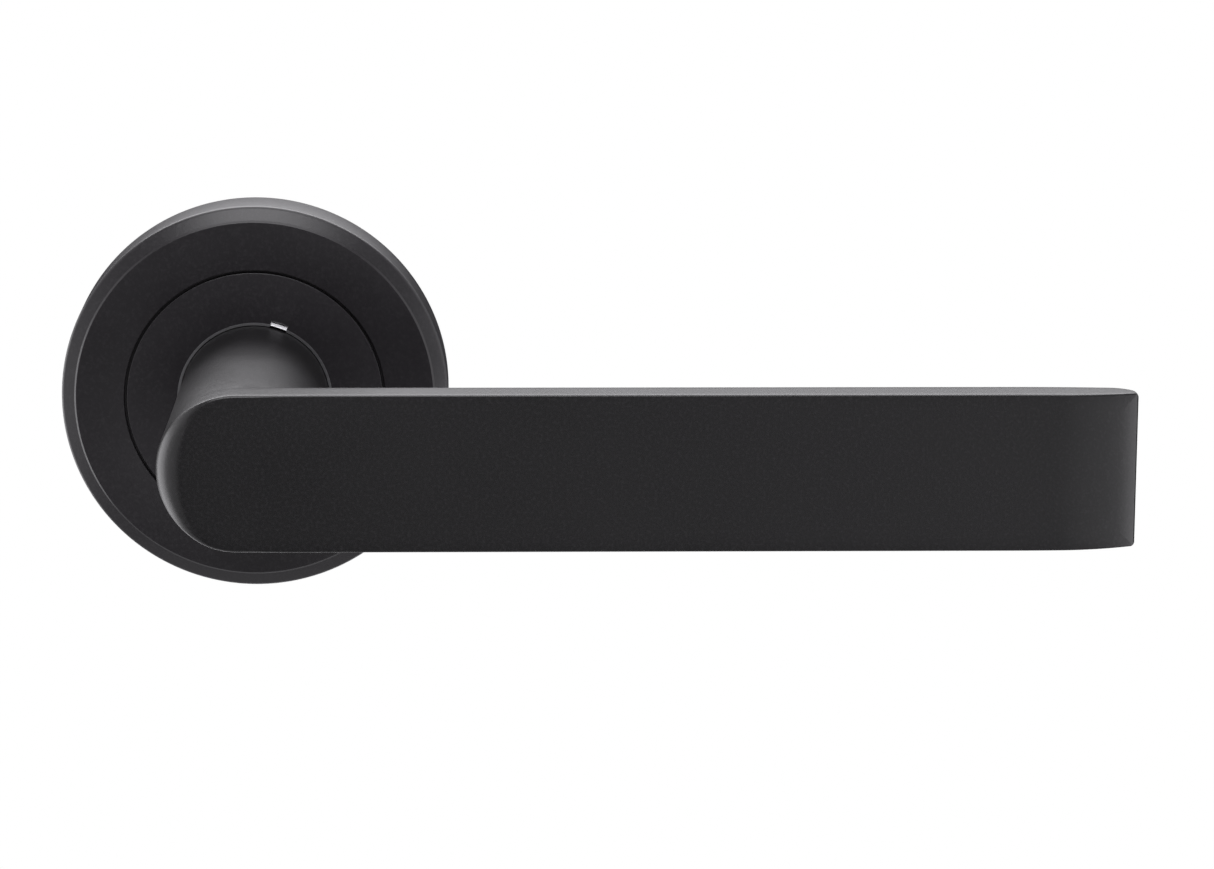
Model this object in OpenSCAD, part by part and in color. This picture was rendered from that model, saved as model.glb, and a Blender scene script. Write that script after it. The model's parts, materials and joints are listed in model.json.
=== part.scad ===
// Lever handle on a round sprung rose: one side of a tubular door lockset.
// The door's face is the plane y = 0. The rose and the lever stand out along -Y,
// the spindle and the fixing bolts run into the door along +Y, the lever points
// along +X and +Z is up. The origin is on the spindle axis in the door's face.
// Every part is drawn about a local Z axis, z = 0 at the door and rising towards
// the user, and on_door() turns it into place.

/* [Lever] */
// Height of the flat grip bar
bar_h = 25; // [22:0.5:25]
// Thickness of the grip bar
bar_t = 6.4; // [6.4:0.1:9]
// Distance from the spindle axis to the tip of the bar
reach = 140.4; // [110:0.1:160]
// Distance from the door to the front of the bar
projection = 70; // [60:0.5:80]
// Diameter of the round neck
neck_d = 24.9; // [24.4:0.1:24.9]
// Radius of the roll from the bar's front into the neck
shoulder_r = 4; // [3:0.5:6]
// Radius of the fillet between the neck and the bar's back
crook_r = 1.2; // [0.8:0.1:3]
// Length of the stretch where the front curves back to the tip
tip_l = 12; // [8:1:12]
// Radius of that curve
tip_r = 34; // [34:1:60]
// Radius of the tip's rear corner
tip_back_r = 4; // [1:0.1:4]

/* [Rose] */
// Outside diameter of the rose
rose_d = 65; // [64:0.5:70]
// Height of the rose's straight side
rim_h = 10; // [9.9:0.1:10.5]
// Height of the rose from the door to its face
rose_h = 11.4; // [11.4:0.1:11.9]
// Diameter of the flat face
face_d = 60; // [58:0.5:61]
// Height of the step from the bevel up to the face
face_step = 0.35; // [0.2:0.05:0.5]
// Diameter of the inner disc
disc_d = 42.9; // [42:0.1:43.2]
// Width of the seam round the inner disc
seam_w = 0.5; // [0.3:0.1:0.8]
// Diameter of the hole that the neck comes out of
mouth_d = 25.1; // [25.1:0.1:26]
// Direction of the release notch, measured from the lever towards the top
notch_a = 71.5; // [60:0.5:80]
// Width of the release notch
notch_w = 2.8; // [2.4:0.1:3.4]

/* [Mechanism] */
// Swing of the lever each way from level
swing = 45; // [30:1:50]
// Side of the square spindle
spindle_w = 7.9; // [7.6:0.1:7.9]
// How far the spindle reaches behind the door's face
spindle_back = 62; // [40:1:80]
// Distance between the two fixing bolts
bolt_span = 38; // [38:0.5:41]
// How far the bolts reach behind the door's face
bolt_back = 50; // [30:1:70]
// Travel of the lever catch when its release tool is pushed in
catch_travel = 2.7; // [2:0.1:2.8]

/* [Hidden] */
$fn = 96;

satin_black = "#262628";
zinc_grey = "#a9abae";
steel_grey = "#8e9296";
bright_steel = "#c9ccd0";
spring_grey = "#5d6166";
nylon_white = "#e4e1d6";

eps = 0.01;
neck_r = neck_d / 2;
bar_back = projection - bar_t;
mouth_r = mouth_d / 2;

// Rose shell and the cast base under it
wall = 1.2;
roof = 1.4;
step_run = 0.3;
flange_r = disc_d / 2 + 1.3;
flange_t = 0.6;
notch_in = 0.25;
ramp_l = 1.05; // the notch's ramp, which falls away from the neck
ramp_d = 0.5;
shell_r = rose_d / 2 - wall;
lip_r = disc_d / 2 + seam_w;
floor_t = 2;
base_r = shell_r - 0.4;
base_top = rim_h - 0.1;
rim_out = 28.6;
rim_in = 26.6;
collar_in = 19;
collar_out = 20.4;
spigot_r = 13.5;
spigot_l = 3;
bolt_neck_r = 2.2;
screw_at = 23.5;
press_gap = 0.02;
clip_angles = [90, 210, 330];
clip_w = 6;
clip_t = 0.45;
snap_z = 5.7;

// Drive hub, its bearing and the parts that hold it in the base
journal_r = 10.5;
running_gap = 0.06;
bush_r = 12;
bush_flange = 0.4;
hub_z = floor_t + bush_flange + 0.05;
hub_plate_t = 1.25;
hub_top = hub_z + hub_plate_t;
hub_tube_r = 10.2;
hub_tube_end = 24;
hub_rear = -5.6;
square_hole = spindle_w + 0.2;
clip_groove_z = -4.95;
clip_groove_w = 0.8;
bore_r = hub_tube_r + 0.05;
bore_end = 27;
neck_end = hub_top + 0.05;
pin_z = 15.5;

// Return spring and the stops
wire_d = 1.3;
coil_r = 14.1;
coil_pitch = 1.35;
coil_z = hub_top + wire_d / 2 + 0.1;
leg_r = 18.4;
leg_bend = 1.2;
tab_w = 2.6;
tab_in = 15;
tab_out = 16.1;
leg_x = tab_w / 2 + wire_d / 2 + 0.02;
anchor_at = 17.6;
lug_w = 5.2;
lug_r = 18.2;
post_r = 2;
post_at = 16.9;
post_a = 90 - swing - 0.6 - asin((lug_w / 2 + post_r) / post_at);
plate_z = 8;
plate_t = 0.8;

// Lever catch
catch_z = 6.9;
catch_h = 2.8;
catch_w = 2.7;
catch_gap = 0.07;
catch_in = 8.9;
catch_out = 12.9;
catch_well = 5;
catch_spring_r = 0.75;

// Turns a part from its local Z axis into the door's frame
module on_door() {
    rotate([90, 0, 0]) children();
}

// Ring between two radii, from z0 up to z1
module ring(r_out, r_in, z0, z1) {
    translate([0, 0, z0]) difference() {
        cylinder(r = r_out, h = z1 - z0);
        translate([0, 0, -1]) cylinder(r = r_in, h = z1 - z0 + 2);
    }
}

// Copies its children at each end of the bolt span
module at_bolts() {
    for (side = [-1, 1]) translate([side * bolt_span / 2, 0, 0]) children();
}

// Copies its children at both stop posts
module at_posts() {
    for (a = [post_a, 180 - post_a]) rotate(a) translate([post_at, 0, 0]) children();
}

// Radial block at angle a, from radius r0 to r1, z0 to z1
module radial_block(a, r0, r1, w, z0, z1) {
    rotate(a) translate([r0, -w / 2, z0]) cube([r1 - r0, w, z1 - z0]);
}

// ---- Swept wire, for the springs ----

function unit(v) = v / norm(v);

// Direction of a path at point i
function heading(path, i) =
    unit(path[min(i + 1, len(path) - 1)] - path[max(i - 1, 0)]);

// One ring of points round the path at point i
function wire_ring(path, i, r, sides) =
    let (t = heading(path, i), side = unit(cross(t, [0, 0, 1])), up = cross(side, t))
    [for (k = [0:sides - 1])
        path[i] + r * cos(360 * k / sides) * side + r * sin(360 * k / sides) * up];

// Round wire of radius r along a path that never runs parallel to Z
module wire(path, r, sides) {
    n = len(path);
    points = [for (i = [0:n - 1]) each wire_ring(path, i, r, sides)];
    walls = [for (i = [0:n - 2], k = [0:sides - 1])
        let (a = i * sides + k, b = i * sides + (k + 1) % sides)
        each [[a, b, b + sides], [a, b + sides, a + sides]]];
    caps = [[for (k = [sides - 1:-1:0]) k],
        [for (k = [0:sides - 1]) (n - 1) * sides + k]];
    polyhedron(points = points, faces = concat(walls, caps));
}

// Points of a helix about Z between two angles
function helix(r, a0, a1, z0, pitch, step) =
    [for (a = [a0:step:a1]) [r * cos(a), r * sin(a), z0 + (a - a0) / 360 * pitch]];

// ---- Lever ----

// Outline of the bar seen from the front: one round end, one square end
module bar_front_outline() {
    circle(r = bar_h / 2);
    translate([0, -bar_h / 2]) square([reach, bar_h]);
}

// Outline of the bar seen from above, with its rolled shoulder and curved tip
module bar_plan_outline() {
    corner = [-bar_h / 2 + shoulder_r, projection - shoulder_r];
    difference() {
        translate([-bar_h / 2, bar_back]) square([bar_h / 2 + reach, bar_t]);
        difference() {
            translate(corner - [shoulder_r + 1, 0]) square(shoulder_r + 1);
            translate(corner) circle(r = shoulder_r);
        }
        difference() {
            translate([reach - tip_l, bar_back]) square([tip_l + 1, bar_t + 1]);
            translate([reach - tip_l, projection - tip_r]) circle(r = tip_r);
        }
        translate([reach - tip_back_r, bar_back + tip_back_r]) difference() {
            translate([0, -tip_back_r - 1]) square(tip_back_r + 1);
            circle(r = tip_back_r);
        }
    }
}

module bar() {
    intersection() {
        translate([0, 0, bar_back - 1]) linear_extrude(bar_t + 2) bar_front_outline();
        translate([0, bar_h / 2 + 1, 0]) rotate([90, 0, 0])
            linear_extrude(bar_h + 2) bar_plan_outline();
    }
}

// Concave fillet between the neck and the back of the bar
module crook() {
    sweep_z = bar_back - crook_r;
    intersection() {
        rotate_extrude() difference() {
            translate([0, sweep_z - 2]) square([neck_r + crook_r, crook_r + 3]);
            translate([neck_r, sweep_z - 3]) square([crook_r + 1, 3]);
            translate([neck_r + crook_r, sweep_z]) circle(r = crook_r);
        }
        translate([0, -bar_h / 2, 0]) cube([neck_r + crook_r + 1, bar_h, projection]);
    }
}

module lever_handle() {
    color(satin_black) on_door() difference() {
        union() {
            translate([0, 0, neck_end]) cylinder(r = neck_r, h = bar_back + 1 - neck_end);
            crook();
            bar();
        }
        translate([0, 0, neck_end - 1]) cylinder(r = bore_r, h = bore_end - neck_end + 1);
        radial_block(200, 0, 11.35, 3.1, neck_end - 1, 12.1);
        radial_block(notch_a, 9, neck_r + 1, catch_w + 0.1, catch_z - 0.1,
            catch_z + catch_h + 0.1);
    }
}

// ---- Rose ----

module rose_cover() {
    color(satin_black) on_door() rotate_extrude() difference() {
        polygon([[0, 0], [rose_d / 2, 0], [rose_d / 2, rim_h],
            [face_d / 2 + step_run, rose_h - face_step], [face_d / 2, rose_h],
            [0, rose_h]]);
        translate([-1, -1]) square([lip_r + 1, rose_h + 2]);
        polygon([[0, -1], [shell_r, -1], [shell_r, rim_h - 1],
            [face_d / 2 - 0.4, rose_h - roof], [0, rose_h - roof]]);
        translate([0, snap_z - 0.5]) square([shell_r + 0.3, 1]);
    }
}

module rose_inner_disc() {
    color(satin_black) on_door() difference() {
        union() {
            ring(disc_d / 2, mouth_r, base_top, rose_h);
            ring(flange_r, collar_out + 0.05, base_top - flange_t, base_top + eps);
            ring(disc_d / 2, collar_out + 0.05, base_top - 1.5, base_top + eps);
        }
        radial_block(notch_a, mouth_r - 1, mouth_r + notch_in, notch_w, base_top - 1,
            rose_h + 1);
        rotate(notch_a) rotate([90, 0, 0]) linear_extrude(notch_w, center = true)
            polygon([[mouth_r - 1, rose_h + 1], [mouth_r + ramp_l, rose_h + 1],
                [mouth_r + ramp_l, rose_h - ramp_d], [mouth_r + 0.2, rose_h - 0.05],
                [mouth_r - 1, rose_h - 0.05]]);
    }
}

module rose_base() {
    color(zinc_grey) on_door() difference() {
        union() {
            cylinder(r = base_r, h = floor_t);
            translate([0, 0, -spigot_l]) cylinder(r = spigot_r, h = spigot_l + 1);
            ring(rim_out, rim_in, floor_t - eps, base_top);
            ring(collar_out, collar_in, floor_t - eps, base_top);
        }
        translate([0, 0, -spigot_l - 1]) cylinder(r = bush_r + 0.05, h = 20);
        at_bolts() {
            translate([0, 0, -1]) cylinder(r = bolt_neck_r + 0.1, h = 6);
            translate([0, 0, floor_t]) cylinder(r = 5, h = 20);
        }
        at_posts() translate([0, 0, 0.5]) cylinder(r = post_r + press_gap, h = 3);
        rotate(-90) translate([anchor_at, 0, 0.5])
            cylinder(r = tab_w / 2 + press_gap, h = 3);
        for (a = [45:90:315]) rotate(a) translate([screw_at, 0, 0]) {
            translate([0, 0, -1]) cylinder(r = 1.9, h = 4);
            translate([0, 0, floor_t - 1]) cylinder(r1 = 1.9, r2 = 3.1, h = 1.2);
        }
        for (a = clip_angles) rotate(a) translate([rim_in - 1, 0, 4])
            rotate([0, 90, 0]) cylinder(r = 0.85, h = 4);
    }
}

// Leaf clip that snaps into the groove inside the cover
module cover_clip() {
    foot = rim_out + 0.05;
    nose = shell_r + 0.15;
    rotate([90, 0, 0]) translate([0, 0, -clip_w / 2]) linear_extrude(clip_w) {
        translate([foot, floor_t]) square([1.9, clip_t]);
        translate([foot, floor_t]) square([clip_t, 6]);
        polygon([[foot, 8], [foot, 7.5], [nose - 0.7, snap_z + 0.3],
            [nose - 0.5, snap_z], [nose - 0.7, snap_z - 0.3], [nose - 1.7, 4.5],
            [nose - 1.4, 4.2], [nose - 0.3, snap_z - 0.5], [nose, snap_z],
            [nose - 0.3, snap_z + 0.5], [foot + clip_t, 8]]);
    }
}

module cover_clips() {
    color(spring_grey) on_door() for (a = clip_angles) rotate(a) difference() {
        cover_clip();
        translate([rim_in, 0, 4]) rotate([0, 90, 0]) cylinder(r = 0.85, h = 3);
    }
}

module clip_rivets() {
    color(bright_steel) on_door() for (a = clip_angles) rotate(a)
        translate([rim_in, 0, 4]) rotate([0, 90, 0]) {
            translate([0, 0, -0.5]) cylinder(r = 1.5, h = 0.45);
            translate([0, 0, -0.1]) cylinder(r = 0.8, h = 2.65);
            translate([0, 0, 2.5]) cylinder(r = 1.3, h = 0.35);
        }
}

// ---- Bearing and drive ----

module hub_bush() {
    color(nylon_white) on_door() difference() {
        union() {
            translate([0, 0, -spigot_l]) cylinder(r = bush_r, h = spigot_l + floor_t);
            translate([0, 0, floor_t]) cylinder(r = spigot_r, h = bush_flange);
        }
        translate([0, 0, -spigot_l - 1])
            cylinder(r = journal_r + running_gap, h = spigot_l + floor_t + 2);
    }
}

module drive_hub() {
    color(zinc_grey) on_door() difference() {
        union() {
            translate([0, 0, hub_rear]) cylinder(r = journal_r, h = hub_z - hub_rear + eps);
            translate([0, 0, hub_z]) cylinder(r = 13, h = hub_plate_t);
            translate([0, 0, hub_top - eps])
                cylinder(r = hub_tube_r, h = hub_tube_end - hub_top);
            radial_block(90, 10, lug_r, lug_w, hub_z, hub_top);
            radial_block(-90, 10, tab_out, tab_w, hub_z, hub_top);
            radial_block(-90, tab_in, tab_out, tab_w, hub_z, plate_z - 0.3);
            radial_block(200, 8, 11.3, 3, hub_top - eps, 12);
        }
        translate([-square_hole / 2, -square_hole / 2, hub_rear - 1])
            cube([square_hole, square_hole, hub_tube_end - hub_rear + 2]);
        ring(journal_r + 1, journal_r - 0.9, clip_groove_z, clip_groove_z + clip_groove_w);
        radial_block(notch_a, catch_in - catch_travel - 0.1, 14, catch_w, catch_z,
            catch_z + catch_h);
        rotate(notch_a) translate([catch_well, 0, catch_z + catch_h / 2])
            rotate([0, 90, 0]) cylinder(r = 1, h = 4);
        translate([0, 12, pin_z]) rotate([90, 0, 0]) cylinder(r = 1.02, h = 24);
    }
}

module thrust_washer() {
    color(bright_steel) on_door() ring(13.2, journal_r + 0.2, -spigot_l - 0.4, -spigot_l);
}

// Three-wave spring washer that takes up the hub's end play
module wave_washer() {
    r_in = journal_r + 0.2;
    r_out = 12.9;
    t = 0.3;
    lift = 0.19;
    mid = -spigot_l - 0.4 - 0.375;
    steps = 72;
    points = [for (i = [0:steps - 1], rz = [[r_in, -1], [r_out, -1], [r_out, 1], [r_in, 1]])
        let (a = i * 360 / steps)
        [rz[0] * cos(a), rz[0] * sin(a), mid + lift * sin(3 * a) + rz[1] * t / 2]];
    faces = [for (i = [0:steps - 1], k = [0:3])
        let (a = 4 * i + k, b = 4 * i + (k + 1) % 4, n = 4 * steps)
        [a, b, (b + 4) % n, (a + 4) % n]];
    color(spring_grey) on_door() polyhedron(points = points, faces = faces);
}

// Open retaining ring with an ear at each end
module circlip() {
    z0 = clip_groove_z + 0.05;
    t = clip_groove_w - 0.1;
    gap_a = 26;
    ear_r = 1.6;
    ear_at = 12;
    color(spring_grey) on_door() translate([0, 0, z0]) difference() {
        union() {
            difference() {
                cylinder(r = 11.9, h = t);
                translate([0, 0, -1]) cylinder(r = journal_r - 0.85, h = t + 2);
                translate([0, 0, -1]) linear_extrude(t + 2) polygon([[0, 0],
                    [-20 * sin(gap_a), -20 * cos(gap_a)], [0, -25],
                    [20 * sin(gap_a), -20 * cos(gap_a)]]);
            }
            for (s = [-1, 1]) rotate(-90 + s * (gap_a + 6)) translate([ear_at, 0, 0])
                cylinder(r = ear_r, h = t);
        }
        for (s = [-1, 1]) rotate(-90 + s * (gap_a + 6)) translate([ear_at, 0, -1])
            cylinder(r = 0.7, h = t + 2);
        translate([0, 0, -1]) cylinder(r = journal_r - 0.85, h = t + 2);
    }
}

// Quarter bend from a leg that runs along Y into the coil
function leg_bend_points(side, y, z) =
    [for (a = [0:22.5:67.5])
        [side * (leg_x + leg_bend * (1 - cos(a))), y + leg_bend * sin(a), z]];

module return_spring() {
    start = asin((leg_x + leg_bend) / coil_r);
    turns = 2 - start / 180;
    bend_y = -coil_r * cos(start) - leg_bend;
    top_z = coil_z + turns * coil_pitch;
    into = leg_bend_points(1, bend_y, coil_z);
    out = leg_bend_points(-1, bend_y, top_z);
    path = concat([[leg_x, -leg_r, coil_z]], into,
        helix(coil_r, start - 90, 360 * turns + start - 90, coil_z, coil_pitch, 10),
        [for (i = [len(out) - 1:-1:0]) out[i]], [[-leg_x, -leg_r, top_z]]);
    color(spring_grey) on_door() wire(path, wire_d / 2, 8);
}

module spring_anchor_pin() {
    color(bright_steel) on_door() rotate(-90) translate([anchor_at, 0, 0.5])
        cylinder(r = tab_w / 2, h = plate_z - 0.6);
}

module stop_posts() {
    color(bright_steel) on_door() at_posts() difference() {
        translate([0, 0, 0.5]) cylinder(r = post_r, h = plate_z - 0.5);
        translate([0, 0, plate_z - 3]) cylinder(r = 1, h = 4);
    }
}

// Plate that closes the spring chamber, notched for the fixing bolts
module cassette_plate() {
    color(steel_grey) on_door() difference() {
        ring(collar_in - 0.1, 13.6, plate_z, plate_z + plate_t);
        at_bolts() cylinder(r = 4.4, h = 20);
        at_posts() cylinder(r = 1.05, h = 20);
    }
}

module cassette_screws() {
    head_z = plate_z + plate_t;
    color(bright_steel) on_door() at_posts() difference() {
        union() {
            translate([0, 0, plate_z - 2.9]) cylinder(r = 0.95, h = 2.9 + plate_t + eps);
            translate([0, 0, head_z]) cylinder(r1 = 1.8, r2 = 1.4, h = 0.9);
        }
        for (a = [0, 90]) rotate(a) translate([-1, -0.2, head_z + 0.4]) cube([2, 0.4, 1]);
    }
}

module square_spindle() {
    half = spindle_w / 2;
    lead = 3;
    color(steel_grey) on_door() difference() {
        intersection() {
            translate([-half, -half, -spindle_back])
                cube([spindle_w, spindle_w, spindle_back + 20]);
            translate([0, 0, -spindle_back]) union() {
                cylinder(r1 = half, r2 = half + lead, h = lead);
                translate([0, 0, lead - eps])
                    cylinder(r = half + lead, h = spindle_back + 20);
            }
        }
        translate([0, 12, pin_z]) rotate([90, 0, 0]) cylinder(r = 1.02, h = 24);
    }
}

module spindle_pin() {
    color(bright_steel) on_door() translate([0, 9.8, pin_z]) rotate([90, 0, 0])
        cylinder(r = 1, h = 19.6);
}

// ---- Lever catch ----

module lever_catch() {
    w = catch_w - 2 * catch_gap;
    z0 = catch_z + catch_gap;
    z1 = catch_z + catch_h - catch_gap;
    color(bright_steel) on_door() difference() {
        radial_block(notch_a, catch_in, catch_out, w, z0, z1);
        rotate(notch_a) translate([catch_in - 1, 0, (z0 + z1) / 2]) rotate([0, 90, 0])
            cylinder(r = 1, h = 3.2);
        rotate(notch_a) translate([catch_out, -w, z1 - 0.5]) rotate([0, -45, 0])
            cube([2, 2 * w, 2]);
    }
}

module catch_spring() {
    wire_r = 0.15;
    turns = 6;
    length = 5.6;
    color(spring_grey) on_door() rotate(notch_a)
        translate([catch_well + 0.2, 0, catch_z + catch_h / 2]) rotate([0, 90, 0])
        wire(helix(catch_spring_r, 0, 360 * turns, 0, length / turns, 24), wire_r, 6);
}

// ---- Fixings ----

module fixing_bolts() {
    head_r = 3.9;
    head_h = 2.3;
    seat = floor_t + 0.5;
    color(bright_steel) on_door() at_bolts() difference() {
        union() {
            translate([0, 0, -bolt_back]) cylinder(r = 2, h = bolt_back + eps);
            cylinder(r = bolt_neck_r, h = seat + eps);
            translate([0, 0, -bolt_back - 1]) cylinder(r1 = 1.2, r2 = 2, h = 1 + eps);
            translate([0, 0, seat]) cylinder(r = head_r, h = head_h);
        }
        for (a = [0, 90]) rotate(a) translate([-2.2, -0.5, seat + 0.8]) cube([4.4, 1, 2]);
    }
}

module bolt_washers() {
    color(spring_grey) on_door() at_bolts() ring(4.2, bolt_neck_r + 0.1, floor_t, floor_t + 0.5);
}

lever_handle();
rose_cover();
rose_inner_disc();
rose_base();
cover_clips();
clip_rivets();
hub_bush();
drive_hub();
thrust_washer();
wave_washer();
circlip();
return_spring();
spring_anchor_pin();
stop_posts();
cassette_plate();
cassette_screws();
square_spindle();
spindle_pin();
lever_catch();
catch_spring();
fixing_bolts();
bolt_washers();
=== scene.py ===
"""Lever handle on a round rose: meshes and finishes on its jointed frame, light and camera."""
import json
import math

import bmesh
import bpy
from mathutils import Matrix, Vector


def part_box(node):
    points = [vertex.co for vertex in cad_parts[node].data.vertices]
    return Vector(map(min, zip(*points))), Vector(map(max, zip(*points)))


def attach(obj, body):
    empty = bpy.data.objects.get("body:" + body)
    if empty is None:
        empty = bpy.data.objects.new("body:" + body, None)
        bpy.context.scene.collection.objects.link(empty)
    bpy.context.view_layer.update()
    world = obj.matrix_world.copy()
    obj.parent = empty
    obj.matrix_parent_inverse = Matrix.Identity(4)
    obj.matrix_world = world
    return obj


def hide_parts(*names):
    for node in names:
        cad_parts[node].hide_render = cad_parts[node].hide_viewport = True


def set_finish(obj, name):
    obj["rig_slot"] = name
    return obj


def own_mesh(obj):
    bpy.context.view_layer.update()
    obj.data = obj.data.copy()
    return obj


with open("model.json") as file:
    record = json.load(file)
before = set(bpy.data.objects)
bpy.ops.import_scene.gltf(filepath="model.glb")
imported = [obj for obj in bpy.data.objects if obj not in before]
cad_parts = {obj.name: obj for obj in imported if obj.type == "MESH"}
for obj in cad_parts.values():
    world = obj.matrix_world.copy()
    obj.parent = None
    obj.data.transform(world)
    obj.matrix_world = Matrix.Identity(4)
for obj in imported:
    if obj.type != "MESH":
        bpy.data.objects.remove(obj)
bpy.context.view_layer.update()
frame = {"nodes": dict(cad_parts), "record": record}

# Builders work in millimetres with y out of the door; the door's face is y = 0.
MM = 0.001
lever_low, lever_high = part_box("lever_handle")
rose_low, rose_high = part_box("rose_cover")
disc_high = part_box("rose_inner_disc")[1]
bolt_low, bolt_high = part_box("fixing_bolts")

# The lever's bar: its reach, faces, edges, round end and tip.
REACH = lever_high.x / MM
FRONT = -lever_low.y / MM
HALF_H = lever_high.z / MM
NECK_END = -lever_high.y / MM
BAR_T = 6.4
BACK = FRONT - BAR_T
LEFT_R = HALF_H + 0.38
ROLL = 4.2
ROLL_SPAN = math.radians(72)
TIP_L = 12.0
TIP_R = 34.0
TIP_BACK_R = 4.0
TIP_CORNER = 0.6
TIP_TAPER = 0.22
EDGE_R = 0.45
FINE_EDGE_R = 0.25
CROWN = 0.16
CROWN_IN = 3.0
# Points of each half outline that lie on the tip's corner and straight end.
TIP_POINTS = 14

# The neck and its socket.
NECK_R = 12.45
NECK_FLARE = 0.38
NECK_FILLET = 1.2
BORE_R = 10.25
BORE_END = 27.0

# The rose: cover, inner disc, mouth and release notch.
ROSE_R = rose_high.x / MM
ROSE_H = -rose_low.y / MM
RIM_H = ROSE_H - 1.4
FACE_R = ROSE_R - 2.5
SHELL_R = ROSE_R - 1.2
DISC_R = disc_high.x / MM - 1.3
SEAM = 0.5
STEP_RUN = 0.3
STEP_RISE = 0.35
MOUTH_R = 12.55
NOTCH_A = math.radians(71.5)
NOTCH_W = 2.8
NOTCH_IN = 0.25
RAMP_L = 1.05
RAMP_D = 0.5

# The catch's spring, from its inner end outwards.
SPRING_START = 5.2
SPRING_L = 5.6
SPRING_R = 0.75
SPRING_TURNS = 6
WIRE_R = 0.15


# ---- Mesh helpers ----

def make_object(name, mesh):
    """A linked object that holds the mesh."""
    obj = bpy.data.objects.new(name, mesh)
    bpy.context.scene.collection.objects.link(obj)
    return obj


def make_mesh(name, points, faces, sharp=35):
    """A smooth-shaded object from points in millimetres, creased above the sharp angle."""
    mesh = bpy.data.meshes.new(name)
    mesh.from_pydata([Vector(p) * MM for p in points], [], faces)
    tidy(mesh, sharp)
    return make_object(name, mesh)


def tidy(mesh, sharp):
    """Turns the faces outward and sets the smooth shading."""
    work = bmesh.new()
    work.from_mesh(mesh)
    bmesh.ops.remove_doubles(work, verts=work.verts, dist=1e-7)
    bmesh.ops.recalc_face_normals(work, faces=work.faces)
    if work.calc_volume(signed=True) < 0:
        bmesh.ops.reverse_faces(work, faces=work.faces)
    work.to_mesh(mesh)
    work.free()
    mesh.shade_smooth()
    mesh.set_sharp_from_angle(angle=math.radians(sharp))
    mesh.update()


def bridge(loops, close_ends):
    """Points and faces of a skin over loops of equal length."""
    n = len(loops[0])
    points = [p for loop in loops for p in loop]
    faces = []
    for i in range(len(loops) - 1):
        for k in range(n):
            a, b = i * n + k, i * n + (k + 1) % n
            faces.append((a, b, b + n, a + n))
    if close_ends:
        faces.append(tuple(range(n)))
        faces.append(tuple(range((len(loops) - 1) * n, len(loops) * n)))
    return points, faces


def circle_loop(radius, out, count, centre=(0.0, 0.0)):
    """A loop of points round an axis through the door, at a height out of it."""
    turn = 2 * math.pi / count
    return [(centre[0] + radius * math.cos(k * turn), -out,
             centre[1] + radius * math.sin(k * turn)) for k in range(count)]


def revolve(name, profile, count, sharp=35):
    """A closed ring from a closed profile of (radius, height out of the door)."""
    loops = [circle_loop(r, out, count) for r, out in profile]
    points, faces = bridge(loops + [loops[0]], False)
    return make_mesh(name, points, faces, sharp)


def rounded(corners, steps=6):
    """Replaces each (x, y, radius) corner of a closed profile by an arc of that radius."""
    result = []
    n = len(corners)
    for i, (x, y, radius) in enumerate(corners):
        here = Vector((x, y))
        to_last = (Vector(corners[i - 1][:2]) - here).normalized()
        to_next = (Vector(corners[(i + 1) % n][:2]) - here).normalized()
        if radius == 0:
            result.append((x, y))
            continue
        half = to_last.angle(to_next) / 2
        centre = here + (to_last + to_next).normalized() * radius / math.sin(half)
        start = here + to_last * radius / math.tan(half) - centre
        end = here + to_next * radius / math.tan(half) - centre
        for k in range(steps + 1):
            t = k / steps
            spoke = start.slerp(end, t) if start.angle(end) > 1e-4 else start
            result.append(tuple(centre + spoke.normalized() * radius))
    return result


def cut(target, tool, operation):
    """Applies an exact boolean to the target and removes the tool."""
    step = target.modifiers.new("step", "BOOLEAN")
    step.operation = operation
    step.solver = "EXACT"
    step.object = tool
    bpy.context.view_layer.update()
    graph = bpy.context.evaluated_depsgraph_get()
    result = bpy.data.meshes.new_from_object(target.evaluated_get(graph))
    target.modifiers.clear()
    target.data = result
    bpy.data.objects.remove(tool)


def radial_axes(angle):
    """Unit vectors along a radius at that angle and square to it, both in the door's plane."""
    return (Vector((math.cos(angle), 0, math.sin(angle))),
            Vector((-math.sin(angle), 0, math.cos(angle))))


def radial_box(angle, inner, outer, width, low, high):
    """A box that lies along a radius, from inner to outer and low to high out of the door."""
    along, across = radial_axes(angle)
    loops = []
    for out in (low, high):
        rise = Vector((0, -out, 0))
        loops.append([rise + along * r + across * s * width / 2
                      for r, s in ((inner, -1), (outer, -1), (outer, 1), (inner, 1))])
    points, faces = bridge(loops, True)
    return make_mesh("tool", points, faces)


# ---- Lever ----

def bar_front(x):
    """Height of the bar's front out of the door: flat, then curved back to the tip."""
    lean = max(0.0, x - (REACH - TIP_L))
    return FRONT - TIP_R + math.sqrt(TIP_R ** 2 - lean ** 2)


def bar_back(x):
    """Height of the bar's back out of the door, with the tip's rear corner."""
    lean = min(TIP_BACK_R, max(0.0, x - (REACH - TIP_BACK_R)))
    return BACK + TIP_BACK_R - math.sqrt(TIP_BACK_R ** 2 - lean ** 2)


def tip_taper(x):
    """How much lower than half height the bar's edge is near its tip."""
    return TIP_TAPER * max(0.0, (x - REACH + 20) / 20) ** 2


def edge_radius(x):
    """Radius of the bar's long edges: softer beside the neck, crisp along the grip."""
    t = min(1.0, max(0.0, (x - 1.0) / 8.0))
    return EDGE_R + (FINE_EDGE_R - EDGE_R) * t * t * (3 - 2 * t)


def roll_radius(a):
    """Radius of the rolled end, widest at the end's middle, a = 0."""
    return EDGE_R + (ROLL - EDGE_R) * max(0.0, 1 - (a / ROLL_SPAN) ** 2) ** 1.5


def edge_room(x):
    """The most that the crown or one rounded edge may take of the bar's thickness."""
    return 0.3 * (bar_front(x) - bar_back(x))


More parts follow.
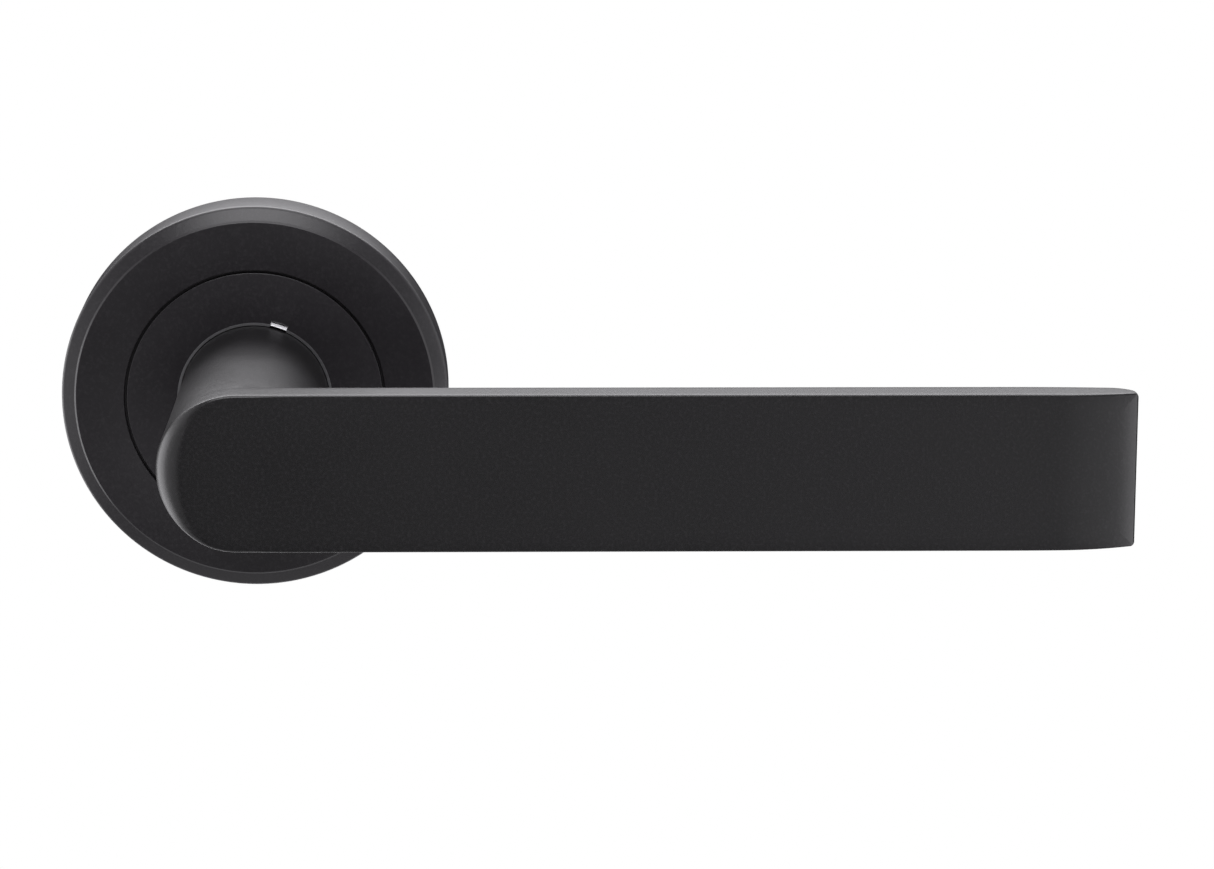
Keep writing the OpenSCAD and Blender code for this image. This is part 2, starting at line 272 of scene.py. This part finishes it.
def edge_drop(x, inset, radius):
    """How far an edge of that radius falls below its face at a distance in."""
    room = min(radius, edge_room(x)) if x > 0 else radius
    lean = max(0.0, radius - inset)
    return room / radius * (radius - math.sqrt(radius ** 2 - lean ** 2))


def bar_half_outline(inset):
    """Lower half of the outline, set in, from the round end's middle to the tip's.

    Each point is x, z and the radius of the front edge there."""
    corner = max(TIP_CORNER - inset, 0.02)
    high = HALF_H - inset
    end = REACH - inset - corner
    full = REACH - TIP_CORNER
    plan = [((inset - LEFT_R) * math.cos(a), -high * math.sin(a), roll_radius(a))
            for a in (math.radians(2.5 * k) for k in range(37))]
    stations = [1, 2.5, 4, 5.5, 7, 9, 12, 20, 32, 46, 60, 74, 88, 100, 110, 116, 120, 123,
                125.5, 127.5]
    stations += [REACH - TIP_L + 0.6 * k for k in range(20)]
    plan += [(x * end / full, -high, edge_radius(x)) for x in stations if x < full]
    plan += [(end + corner * math.sin(a), corner - high - corner * math.cos(a), FINE_EDGE_R)
             for a in (math.radians(18 * k) for k in range(6))]
    plan += [(end + corner, (corner - high) * (1 - k / 8), FINE_EDGE_R) for k in range(1, 9)]
    return [(x, z * (1 - tip_taper(x) / HALF_H), r) for x, z, r in plan]


def bar_loop(inset, height):
    """The whole outline at one inset, with each point's height out of the door."""
    lower = bar_half_outline(inset)
    upper = [(x, -z, r) for x, z, r in reversed(lower[1:-1])]
    return [(x, -height(x, inset, r), z) for x, z, r in lower + upper]


def close_across(loop_start, n):
    """Faces that close a loop whose halves mirror each other, with one over the tip's end."""
    last = n // 2 - TIP_POINTS
    faces = [(loop_start, loop_start + 1, loop_start + n - 1)]
    for i in range(1, last):
        faces.append((loop_start + i, loop_start + i + 1,
                      loop_start + n - i - 1, loop_start + n - i))
    faces.append(tuple(range(loop_start + last, loop_start + n - last + 1)))
    return faces


def front_height(x, inset, radius):
    """Height of the bar's front, faintly crowned and rounded off at its outline."""
    crown = min(CROWN, edge_room(x)) * max(0.0, 1 - inset / CROWN_IN) ** 2
    return bar_front(x) - crown - edge_drop(x, inset, radius)


def back_height(x, inset, _radius):
    """Height of the bar's back, rounded off towards its outline."""
    return bar_back(x) + edge_drop(x, inset, FINE_EDGE_R)


def make_bar():
    """The grip bar as one closed skin of nested outlines."""
    insets = [0, 0.01, 0.03, 0.065, 0.11, 0.17, 0.25, 0.34, 0.45, 0.6, 0.8, 1.05, 1.35, 1.7,
              2.1, 2.55, 3.0, 3.5, 4.0, 4.25, 4.8, 6.4, 8.6, 10.6, 12.0]
    loops = [bar_loop(d, front_height) for d in reversed(insets)]
    for k in range(1, 4):
        loops.append(bar_loop(0, lambda x, d, r, t=k / 4:
                              front_height(x, d, r) * (1 - t) + back_height(x, d, r) * t))
    loops += [bar_loop(d, back_height) for d in insets]
    n = len(loops[0])
    points, faces = bridge(loops, False)
    faces += close_across(0, n) + close_across((len(loops) - 1) * n, n)
    return make_mesh("lever_handle_body", points, faces, 40)


def neck_loop(out, swell, count):
    """A slightly oval ring of the neck; swell widens it towards the bar, under its edges."""
    share = max(0.0, (out - 14) / (BACK - 14))
    wide = NECK_R + NECK_FLARE * share ** 1.6
    loop = []
    for k in range(count):
        a = 2 * math.pi * k / count
        room = (HALF_H - 0.05) / max(abs(math.sin(a)), 1e-3) - NECK_R
        grow = min(swell, max(0.0, room)) if math.cos(a) > 0 else 0.0
        loop.append(((wide + grow) * math.cos(a), -out, (NECK_R + grow) * math.sin(a)))
    return loop


def make_neck():
    """The round neck with the socket that slips over the drive hub."""
    count = 192
    loops = [circle_loop(BORE_R, BORE_END, count), circle_loop(BORE_R, NECK_END + 0.3, count),
             circle_loop(BORE_R + 0.3, NECK_END, count)]
    loops += [neck_loop(NECK_END, -0.3, count), neck_loop(NECK_END + 0.3, 0, count)]
    loops += [neck_loop(6 + k * (BACK - NECK_FILLET - 6) / 20, 0, count) for k in range(21)]
    for k in range(1, 7):
        a = math.radians(15 * k)
        loops.append(neck_loop(BACK - NECK_FILLET + NECK_FILLET * math.sin(a),
                               NECK_FILLET * (1 - math.cos(a)), count))
    loops.append(neck_loop(BACK + 0.3, NECK_FILLET, count))
    points, faces = bridge(loops, True)
    return make_mesh("neck", points, faces, 40)


def make_lever():
    """Bar and neck joined, with the catch's window and the hub's keyway cut out."""
    lever = make_bar()
    cut(lever, make_neck(), "UNION")
    catch_low, catch_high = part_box("lever_catch")
    low, high = -catch_high.y / MM - 0.15, -catch_low.y / MM + 0.15
    cut(lever, radial_box(NOTCH_A, 9, NECK_R + 1, NOTCH_W, low, high), "DIFFERENCE")
    cut(lever, radial_box(math.radians(200), 0, 11.35, 3.1, NECK_END - 1, 12.1), "DIFFERENCE")
    tidy(lever.data, 40)
    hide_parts("lever_handle")
    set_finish(lever, "satin_black_lever")
    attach(lever, "lever")
    return lever


# ---- Rose ----

def notch_ramp():
    """The tool for the notch's ramp, which falls away from the neck."""
    along, across = radial_axes(NOTCH_A)
    section = ((-1, 1), (RAMP_L, 1), (RAMP_L, -RAMP_D), (0.2, -0.05), (-1, -0.05))
    loops = [[along * (MOUTH_R + r) + Vector((0, -ROSE_H - out, 0))
              + across * s * NOTCH_W / 2 for r, out in section] for s in (-1, 1)]
    points, faces = bridge(loops, True)
    return make_mesh("tool", points, faces)


def make_cover():
    """The rose's shell, with its bevel and the edge along the seam."""
    groove = 5.2
    cover = revolve("rose_cover_shell", rounded([
        (ROSE_R, 0, 0.15), (ROSE_R, RIM_H, 0.8),
        (FACE_R + STEP_RUN, ROSE_H - STEP_RISE, 0.12), (FACE_R, ROSE_H, 0.15),
        (DISC_R + SEAM, ROSE_H, 0.1), (DISC_R + SEAM, ROSE_H - 1.4, 0),
        (FACE_R - 0.4, ROSE_H - 1.4, 0), (SHELL_R, RIM_H - 1, 0), (SHELL_R, groove + 1, 0),
        (SHELL_R + 0.3, groove + 1, 0), (SHELL_R + 0.3, groove, 0), (SHELL_R, groove, 0),
        (SHELL_R, 0, 0.1)]), 256)
    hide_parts("rose_cover")
    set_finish(cover, "satin_black_rose")
    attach(cover, "rose")
    return cover


def make_disc():
    """The inner disc, flush with the cover, with the mouth and the release notch."""
    disc = revolve("rose_inner_disc_plate", rounded([
        (MOUTH_R, ROSE_H - 1.5, 0), (MOUTH_R, ROSE_H, 0.06),
        (DISC_R, ROSE_H, 0.1), (DISC_R, ROSE_H - 1.5, 0),
        (DISC_R + 1.3, ROSE_H - 1.5, 0.1), (DISC_R + 1.3, ROSE_H - 2.1, 0.1),
        (DISC_R, ROSE_H - 2.1, 0), (DISC_R, ROSE_H - 3, 0.1), (DISC_R - 1, ROSE_H - 3, 0),
        (DISC_R - 1, ROSE_H - 1.5, 0)]), 256)
    cut(disc, radial_box(NOTCH_A, MOUTH_R - 1, MOUTH_R + NOTCH_IN, NOTCH_W, RIM_H - 1.1,
                         ROSE_H + 1), "DIFFERENCE")
    cut(disc, notch_ramp(), "DIFFERENCE")
    tidy(disc.data, 35)
    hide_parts("rose_inner_disc")
    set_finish(disc, "satin_black_disc")
    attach(disc, "rose")
    return disc


# ---- Fixing bolts ----

def thread_radius(along, turn, major, pitch):
    """Radius of a cut thread at a distance along its axis and an angle in turns."""
    phase = (along / pitch - turn) % 1.0
    flank = min(1.0, max(0.0, abs(phase - 0.5) * 2.6 - 0.2))
    return major - 0.43 * flank


def make_bolt(side):
    """One bolt: crossed head, plain neck, and a cut thread to its chamfered end."""
    centre = (side * 19.0, 0.0)
    count = 32
    pitch = 0.7
    end = bolt_high.y / MM
    seat = 2.5
    head = -bolt_low.y / MM
    loops = [circle_loop(r, out, count, centre) for r, out in (
        (3.4, head), (3.75, head - 0.12), (3.9, head - 0.45), (3.9, seat + 0.1),
        (3.8, seat), (2.2, seat), (2.2, 0), (2.0, -0.1), (1.96, -16.0))]
    steps = int((end - 17.2) / pitch * 8)
    for i in range(steps + 1):
        depth = 16.2 + i * pitch / 8
        fade = min(1.0, i / 8, (end - 0.6 - depth) / 0.9 + 0.2)
        loop = []
        for k in range(count):
            a = 2 * math.pi * k / count
            r = thread_radius(depth, k / count, 2.0, pitch)
            r = 1.96 + (r - 1.96) * max(0.0, fade)
            loop.append((centre[0] + r * math.cos(a), depth, r * math.sin(a)))
        loops.append(loop)
    loops += [circle_loop(1.7, 0.35 - end, count, centre), circle_loop(1.3, -end, count, centre)]
    points, faces = bridge(loops, True)
    bolt = make_mesh("bolt", points, faces, 30)
    for a in (0, math.pi / 2):
        slot = radial_box(a, -2.2, 2.2, 1.0, seat + 0.8, head + 1)
        slot.data.transform(Matrix.Translation((centre[0] * MM, 0, 0)))
        cut(bolt, slot, "DIFFERENCE")
    tidy(bolt.data, 30)
    return bolt


def make_bolts():
    """Both fixing bolts as one piece."""
    left, right = make_bolt(-1), make_bolt(1)
    work = bmesh.new()
    work.from_mesh(left.data)
    work.from_mesh(right.data)
    work.to_mesh(left.data)
    work.free()
    bpy.data.objects.remove(right)
    left.name = "fixing_bolts_threaded"
    left.data.shade_smooth()
    left.data.set_sharp_from_angle(angle=math.radians(30))
    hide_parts("fixing_bolts")
    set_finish(left, "plated_steel")
    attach(left, "rose")
    return left


# ---- Catch spring ----

def make_catch_spring():
    """The catch's coil spring in round wire, built at one fixed length on the lever."""
    catch_low, catch_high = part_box("lever_catch")
    middle = Vector((0, (catch_low.y + catch_high.y) / 2 / MM, 0))
    along, across = radial_axes(NOTCH_A)
    outward = along.cross(across)
    steps = 32 * SPRING_TURNS
    loops = []
    for k in range(steps + 1):
        a = 2 * math.pi * SPRING_TURNS * k / steps
        spoke = across * math.cos(a) + outward * math.sin(a)
        centre = middle + along * (SPRING_START + SPRING_L * k / steps) + spoke * SPRING_R
        loops.append([centre + WIRE_R * (spoke * math.cos(b) + along * math.sin(b))
                      for b in (math.radians(36 * i) for i in range(10))])
    points, faces = bridge(loops, True)
    spring = make_mesh("catch_spring_coil", points, faces, 40)
    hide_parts("catch_spring")
    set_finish(spring, "spring_steel")
    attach(spring, "lever")
    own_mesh(spring)
    return spring


# ---- Finishes ----

def add(tree, kind, inputs=None, **settings):
    """A node with its settings and inputs; an input is a value or another node's output."""
    made = tree.nodes.new(kind)
    for key, value in settings.items():
        setattr(made, key, value)
    for key, value in (inputs or {}).items():
        if isinstance(value, bpy.types.NodeSocket):
            tree.links.new(value, made.inputs[key])
        else:
            made.inputs[key].default_value = value
    return made


def new_material(name):
    """A material with an empty Principled shader, its tree and its object coordinates."""
    material = bpy.data.materials.new(name)
    material.use_nodes = True
    tree = material.node_tree
    tree.nodes.clear()
    shader = add(tree, "ShaderNodeBsdfPrincipled")
    output = add(tree, "ShaderNodeOutputMaterial")
    tree.links.new(shader.outputs["BSDF"], output.inputs["Surface"])
    coords = add(tree, "ShaderNodeTexCoord").outputs["Object"]
    return material, tree, shader, coords


def noise(tree, coords, scale, detail=2.0, rough=0.5):
    """Noise from 0 to 1 with its scale in features per metre."""
    return add(tree, "ShaderNodeTexNoise", {"Vector": coords, "Scale": scale,
               "Detail": detail, "Roughness": rough}).outputs["Fac"]


def spread(tree, value, low, high, to_low, to_high):
    """The value mapped from one range to another, clamped and eased."""
    return add(tree, "ShaderNodeMapRange", {"Value": value, "From Min": low,
               "From Max": high, "To Min": to_low, "To Max": to_high},
               interpolation_type="SMOOTHSTEP").outputs["Result"]


def blend_colour(tree, amount, first, second):
    """Two colours mixed by an amount."""
    made = add(tree, "ShaderNodeMix", data_type="RGBA")
    for index, value in ((0, amount), (6, first), (7, second)):
        if isinstance(value, bpy.types.NodeSocket):
            tree.links.new(value, made.inputs[index])
        else:
            made.inputs[index].default_value = (*value, 1.0) if index else value
    return made.outputs[2]


def edge_mask(tree, radius):
    """1 along convex and concave edges, 0 on open faces."""
    soft = add(tree, "ShaderNodeBevel", {"Radius": radius}, samples=4).outputs["Normal"]
    true = add(tree, "ShaderNodeNewGeometry").outputs["Normal"]
    dot = add(tree, "ShaderNodeVectorMath", {0: soft, 1: true}, operation="DOT_PRODUCT")
    return spread(tree, dot.outputs["Value"], 0.99, 0.86, 0.0, 1.0)


def bump_chain(tree, layers):
    """Bump maps stacked in order from (height, strength, distance) layers."""
    normal = None
    for height, strength, distance in layers:
        inputs = {"Height": height, "Strength": strength, "Distance": distance}
        if normal is not None:
            inputs["Normal"] = normal
        normal = add(tree, "ShaderNodeBump", inputs).outputs["Normal"]
    return normal


def bare_mouth(tree, coords):
    """1 round the disc's uncoated mouth, less in its release notch, 0 elsewhere."""
    axes = add(tree, "ShaderNodeSeparateXYZ", {0: coords}).outputs
    flat = add(tree, "ShaderNodeCombineXYZ", {0: axes[0], 2: axes[2]}).outputs[0]
    radius = add(tree, "ShaderNodeVectorMath", {0: flat}, operation="LENGTH").outputs["Value"]
    rim = spread(tree, radius, (MOUTH_R + 0.42) * MM, (MOUTH_R + 0.5) * MM, 1.0, 0.0)
    across = radial_axes(NOTCH_A)[1]
    aside = add(tree, "ShaderNodeVectorMath", {0: coords, 1: across},
                operation="DOT_PRODUCT").outputs["Value"]
    aside = add(tree, "ShaderNodeMath", {0: aside}, operation="ABSOLUTE").outputs[0]
    near = spread(tree, aside, 0.51 * NOTCH_W * MM, 0.53 * NOTCH_W * MM, 1.0, 0.0)
    reach = spread(tree, radius, (MOUTH_R + RAMP_L + 0.05) * MM,
                   (MOUTH_R + RAMP_L + 0.1) * MM, 1.0, 0.0)
    above = spread(tree, axes[2], 0.0, 0.001, 0.0, 0.75)
    notch = add(tree, "ShaderNodeMath", {0: near, 1: reach}, operation="MULTIPLY").outputs[0]
    notch = add(tree, "ShaderNodeMath", {0: notch, 1: above}, operation="MULTIPLY").outputs[0]
    return add(tree, "ShaderNodeMath", {0: rim, 1: notch}, operation="MAXIMUM").outputs[0]


def black_coat(name, tone, bare=None):
    """Satin matt black powder coat: fine grain, faint mottling, and paler edges that are partly
    rubbed coat and partly painted edge highlight.

    Where the bare mask is 1 the zinc under it shows."""
    material, tree, shader, coords = new_material(name)
    cloud = noise(tree, coords, 38.0, 3.0)
    peel = noise(tree, coords, 520.0, 2.0)
    grain = noise(tree, coords, 1900.0, 3.0, 0.6)
    mottle = blend_colour(tree, spread(tree, cloud, 0.3, 0.7, 0.0, 1.0),
                          (tone, 0.88 * tone, 1.04 * tone),
                          (1.25 * tone, 1.12 * tone, 1.3 * tone))
    pale = tone + 0.008
    speck = blend_colour(tree, spread(tree, grain, 0.45, 0.75, 0.0, 1.0),
                         mottle, (pale, 0.92 * pale, 1.03 * pale))
    # Convex and concave edges are mixed towards a paler grey: partly rubbed coat, partly a
    # painted highlight along the edges.
    patchy = noise(tree, coords, 900.0, 2.0)
    edge_lightening = add(tree, "ShaderNodeMath", {0: edge_mask(tree, 0.0003),
               1: spread(tree, patchy, 0.35, 0.7, 0.15, 0.8)}, operation="MULTIPLY")
    colour = blend_colour(tree, edge_lightening.outputs[0], speck, (0.030, 0.028, 0.031))
    if bare:
        shown = bare(tree, coords)
        colour = blend_colour(tree, shown, colour, (0.40, 0.40, 0.41))
        tree.links.new(shown, shader.inputs["Metallic"])
    tree.links.new(colour, shader.inputs["Base Color"])
    matt = add(tree, "ShaderNodeMath", {0: cloud, 1: grain}, operation="ADD").outputs[0]
    tree.links.new(spread(tree, matt, 0.7, 1.3, 0.33, 0.39), shader.inputs["Roughness"])
    normal = bump_chain(tree, [(peel, 0.12, 0.00006), (grain, 0.6, 0.00002)])
    tree.links.new(normal, shader.inputs["Normal"])
    return material


def metal(name, dark, light, roughness, grain_scale, stretch=(1, 1, 1), depth=0.00001,
          edge_lightening=0.4):
    """Bare or plated metal with tool marks stretched along an axis and polished edges."""
    material, tree, shader, coords = new_material(name)
    shader.inputs["Metallic"].default_value = 1.0
    marks_at = add(tree, "ShaderNodeMapping", {"Vector": coords, "Scale": stretch})
    marks = noise(tree, marks_at.outputs["Vector"], grain_scale, 3.0, 0.6)
    cloud = noise(tree, coords, 120.0, 3.0)
    tone = add(tree, "ShaderNodeMath", {0: cloud, 1: marks}, operation="ADD").outputs[0]
    colour = blend_colour(tree, spread(tree, tone, 0.75, 1.3, 0.0, 1.0), dark, light)
    bright = tuple(min(1.0, c * 1.35) for c in light)
    rubbed = add(tree, "ShaderNodeMath", {0: edge_mask(tree, 0.00025), 1: edge_lightening},
                 operation="MULTIPLY").outputs[0]
    tree.links.new(blend_colour(tree, rubbed, colour, bright), shader.inputs["Base Color"])
    tree.links.new(spread(tree, tone, 0.7, 1.3, roughness * 0.75, roughness * 1.3),
                   shader.inputs["Roughness"])
    tree.links.new(bump_chain(tree, [(marks, 0.5, depth)]), shader.inputs["Normal"])
    return material


def bearing_plastic(name):
    """Natural acetal: warm off-white, slightly waxy, with faint turning marks."""
    material, tree, shader, coords = new_material(name)
    cloud = noise(tree, coords, 160.0, 3.0)
    fine = noise(tree, coords, 2600.0, 2.0)
    colour = blend_colour(tree, spread(tree, cloud, 0.3, 0.7, 0.0, 1.0),
                          (0.70, 0.67, 0.58), (0.80, 0.78, 0.71))
    tree.links.new(colour, shader.inputs["Base Color"])
    tree.links.new(spread(tree, fine, 0.3, 0.7, 0.38, 0.5), shader.inputs["Roughness"])
    shader.inputs["Subsurface Weight"].default_value = 0.15
    shader.inputs["Subsurface Radius"].default_value = (0.001, 0.0008, 0.0006)
    tree.links.new(bump_chain(tree, [(fine, 0.2, 0.00001)]), shader.inputs["Normal"])
    return material


def make_finishes():
    """Every material slot's finish, by the slot's name."""
    return {
        "satin_black_lever": black_coat("satin_black_lever", 0.0035),
        "satin_black_rose": black_coat("satin_black_rose", 0.0115),
        "satin_black_disc": black_coat("satin_black_disc", 0.0125, bare_mouth),
        "cast_zinc": metal("cast_zinc", (0.30, 0.31, 0.33), (0.46, 0.47, 0.49), 0.5,
                           1400.0, depth=0.00003),
        "spring_steel": metal("spring_steel", (0.10, 0.105, 0.12), (0.24, 0.25, 0.28),
                              0.34, 900.0),
        "plated_steel": metal("plated_steel", (0.52, 0.53, 0.55), (0.68, 0.69, 0.71), 0.26,
                              1200.0, depth=0.000006),
        "bearing_nylon": bearing_plastic("bearing_nylon"),
        "pressed_steel": metal("pressed_steel", (0.36, 0.38, 0.40), (0.50, 0.52, 0.54),
                               0.38, 1500.0, (0.15, 1, 1)),
        "drawn_steel": metal("drawn_steel", (0.24, 0.245, 0.255), (0.42, 0.425, 0.44), 0.36,
                             1800.0, (1, 0.03, 1)),
        "bright_steel": metal("bright_steel", (0.66, 0.66, 0.67), (0.82, 0.82, 0.83), 0.2,
                              1600.0, (1, 0.2, 1), depth=0.000004),
    }


def soften(obj, width):
    """Breaks the sharp edges of a frame piece that stays."""
    weld = obj.modifiers.new("weld", "WELD")
    weld.merge_threshold = 1e-6
    bevel = obj.modifiers.new("bevel", "BEVEL")
    bevel.width = width * MM
    bevel.segments = 2
    bevel.limit_method = "ANGLE"
    bevel.angle_limit = math.radians(40)
    bevel.harden_normals = False
    smooth = obj.modifiers.new("normals", "WEIGHTED_NORMAL")
    smooth.keep_sharp = True


def dress_nodes(finishes):
    """Gives every frame piece that stays its slot's finish, and some of them broken edges."""
    slots = {part["node"]: part["material_slot"] for part in frame["record"]["subparts"]}
    for name, obj in frame["nodes"].items():
        for slot in obj.material_slots:
            slot.material = finishes[slots[name]]
    for name in ("square_spindle", "rose_base", "cassette_plate", "lever_catch"):
        soften(frame["nodes"][name], 0.12)


# ---- Studio ----

def make_floor():
    """A plain pale floor below and behind, round and fading out at its edge."""
    count = 96
    drop = 420.0
    back = 520.0
    loops = [[(70 + r * math.cos(2 * math.pi * k / count),
               back + r * math.sin(2 * math.pi * k / count), -drop) for k in range(count)]
             for r in (430, 330, 220, 110, 20)]
    points, faces = bridge(loops, False)
    faces.append(tuple(range(4 * count, 5 * count)))
    floor = make_mesh("floor", points, faces)
    material = bpy.data.materials.new("pale_floor")
    material.use_nodes = True
    tree = material.node_tree
    tree.nodes.clear()
    coords = add(tree, "ShaderNodeTexCoord").outputs["Object"]
    mottle = noise(tree, coords, 30.0, 3.0)
    colour = blend_colour(tree, mottle, (0.84, 0.84, 0.84), (0.88, 0.88, 0.88))
    pale = add(tree, "ShaderNodeBsdfDiffuse", {"Color": colour})
    clear = add(tree, "ShaderNodeBsdfTransparent")
    offset = add(tree, "ShaderNodeVectorMath", {0: coords,
                 1: (0.07, back * MM, -drop * MM)}, operation="DISTANCE").outputs["Value"]
    fade = spread(tree, offset, 0.28, 0.42, 0.0, 1.0)
    mix = add(tree, "ShaderNodeMixShader", {0: fade, 1: pale.outputs[0], 2: clear.outputs[0]})
    output = add(tree, "ShaderNodeOutputMaterial")
    tree.links.new(mix.outputs[0], output.inputs["Surface"])
    floor.data.materials.append(material)


def make_world():
    """White studio for the lens; in reflections a dim front room with paler sides.

    Behind the handle it is pale high up and low down, and so are the ceiling and floor."""
    world = bpy.data.worlds.new("studio")
    bpy.context.scene.world = world
    world.use_nodes = True
    tree = world.node_tree
    tree.nodes.clear()
    direction = add(tree, "ShaderNodeTexCoord").outputs["Generated"]
    axes = add(tree, "ShaderNodeSeparateXYZ", {0: direction})
    x, y, z = axes.outputs
    wide = add(tree, "ShaderNodeMath", {0: x}, operation="ABSOLUTE").outputs[0]
    sides = spread(tree, wide, 0.55, 0.9, 0.0, 1.1)
    room = add(tree, "ShaderNodeMath", {0: spread(tree, x, -0.06, 0.2, 0.12, 1.0),
               1: spread(tree, x, -0.5, -0.2, 0.9, 0.0)}, operation="ADD").outputs[0]
    room_low = spread(tree, z, -0.65, -0.3, 0.0, 1.0)
    room_high = spread(tree, z, -0.02, 0.22, 1.0, 0.1)
    ahead = spread(tree, y, -0.1, 0.1, 1.0, 0.0)
    back = spread(tree, y, 0.4, 0.75, 0.0, 1.4)
    back_high = spread(tree, z, 0.1, 0.3, 0.0, 1.0)
    back_low = spread(tree, z, -0.2, -0.45, 0.0, 0.8)
    back_band = add(tree, "ShaderNodeMath", {0: back_high, 1: back_low},
                    operation="MAXIMUM").outputs[0]
    front = room
    for share in (room_low, room_high, ahead):
        front = add(tree, "ShaderNodeMath", {0: front, 1: share},
                    operation="MULTIPLY").outputs[0]
    behind = add(tree, "ShaderNodeMath", {0: back, 1: back_band},
                 operation="MULTIPLY").outputs[0]
    level = add(tree, "ShaderNodeMath", {0: front, 1: sides}, operation="MAXIMUM").outputs[0]
    level = add(tree, "ShaderNodeMath", {0: level, 1: behind}, operation="MAXIMUM").outputs[0]
    ceiling = spread(tree, z, 0.8, 0.95, 0.0, 2.4)
    ground = spread(tree, z, -0.58, -0.88, 0.0, 0.7)
    for band in (ceiling, ground):
        level = add(tree, "ShaderNodeMath", {0: level, 1: band}, operation="MAXIMUM").outputs[0]
    light = add(tree, "ShaderNodeBackground", {"Color": (0.98, 0.97, 1.0, 1.0),
                "Strength": level})
    seen = add(tree, "ShaderNodeBackground", {"Color": (1, 1, 1, 1), "Strength": 1.0})
    camera_ray = add(tree, "ShaderNodeLightPath").outputs["Is Camera Ray"]
    mix = add(tree, "ShaderNodeMixShader", {0: camera_ray, 1: light.outputs[0],
              2: seen.outputs[0]})
    output = add(tree, "ShaderNodeOutputWorld")
    tree.links.new(mix.outputs[0], output.inputs["Surface"])


def softbox(name, bearing, height, wide, tall, radiance):
    """A rectangular softbox facing the handle.

    Bearing from straight ahead towards the tip, height above level and both sizes are
    angles in degrees as seen from the handle."""
    away = 1.2
    turn, lift = math.radians(bearing), math.radians(height)
    place = away * Vector((math.sin(turn) * math.cos(lift), -math.cos(turn) * math.cos(lift),
                           math.sin(lift)))
    data = bpy.data.lights.new(name, "AREA")
    data.shape = "RECTANGLE"
    data.size = 2 * away * math.tan(math.radians(wide / 2))
    data.size_y = 2 * away * math.tan(math.radians(tall / 2))
    data.energy = radiance * math.pi * data.size * data.size_y
    data.color = (0.98, 0.97, 1.0)
    lamp = bpy.data.objects.new(name, data)
    bpy.context.scene.collection.objects.link(lamp)
    lamp.location = place
    lamp.rotation_mode = "QUATERNION"
    lamp.rotation_quaternion = (-place).to_track_quat("-Z", "Y")
    lamp.visible_camera = False


def make_lights():
    """Two overhead softboxes and a low one on each side."""
    softbox("top_front", -2, 47, 36, 26, 5.3)
    softbox("top_back", 180, 46, 62, 28, 4.6)
    softbox("low_left", -108, -14, 50, 50, 2.2)
    softbox("low_right", 63, -16, 18, 46, 2.6)


def make_camera():
    """A long lens a little above the lever and to its right."""
    yaw, pitch, roll = -0.032, math.radians(12.05), 0.005
    ahead = Vector((-math.sin(yaw) * math.cos(pitch), math.cos(yaw) * math.cos(pitch),
                    -math.sin(pitch)))
    right = Vector((math.cos(yaw), math.sin(yaw), 0))
    up = right.cross(ahead)
    across = right * math.cos(roll) + up * math.sin(roll)
    above = up * math.cos(roll) - right * math.sin(roll)
    data = bpy.data.cameras.new("camera")
    data.sensor_width = 36.0
    data.lens = 130.48
    data.clip_start = 0.01
    data.clip_end = 50.0
    camera = bpy.data.objects.new("camera", data)
    bpy.context.scene.collection.objects.link(camera)
    turn = Matrix((across, above, -ahead)).transposed().to_4x4()
    camera.matrix_world = Matrix.Translation((0.0360, -0.7374, 0.14885)) @ turn
    bpy.context.scene.camera = camera


finishes = make_finishes()
dress_nodes(finishes)
for piece in (make_lever(), make_cover(), make_disc(), make_bolts(), make_catch_spring()):
    piece.data.materials.clear()
    piece.data.materials.append(finishes[piece["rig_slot"]])
make_floor()
make_world()
make_lights()
make_camera()
bpy.context.scene.view_settings.view_transform = "Standard"
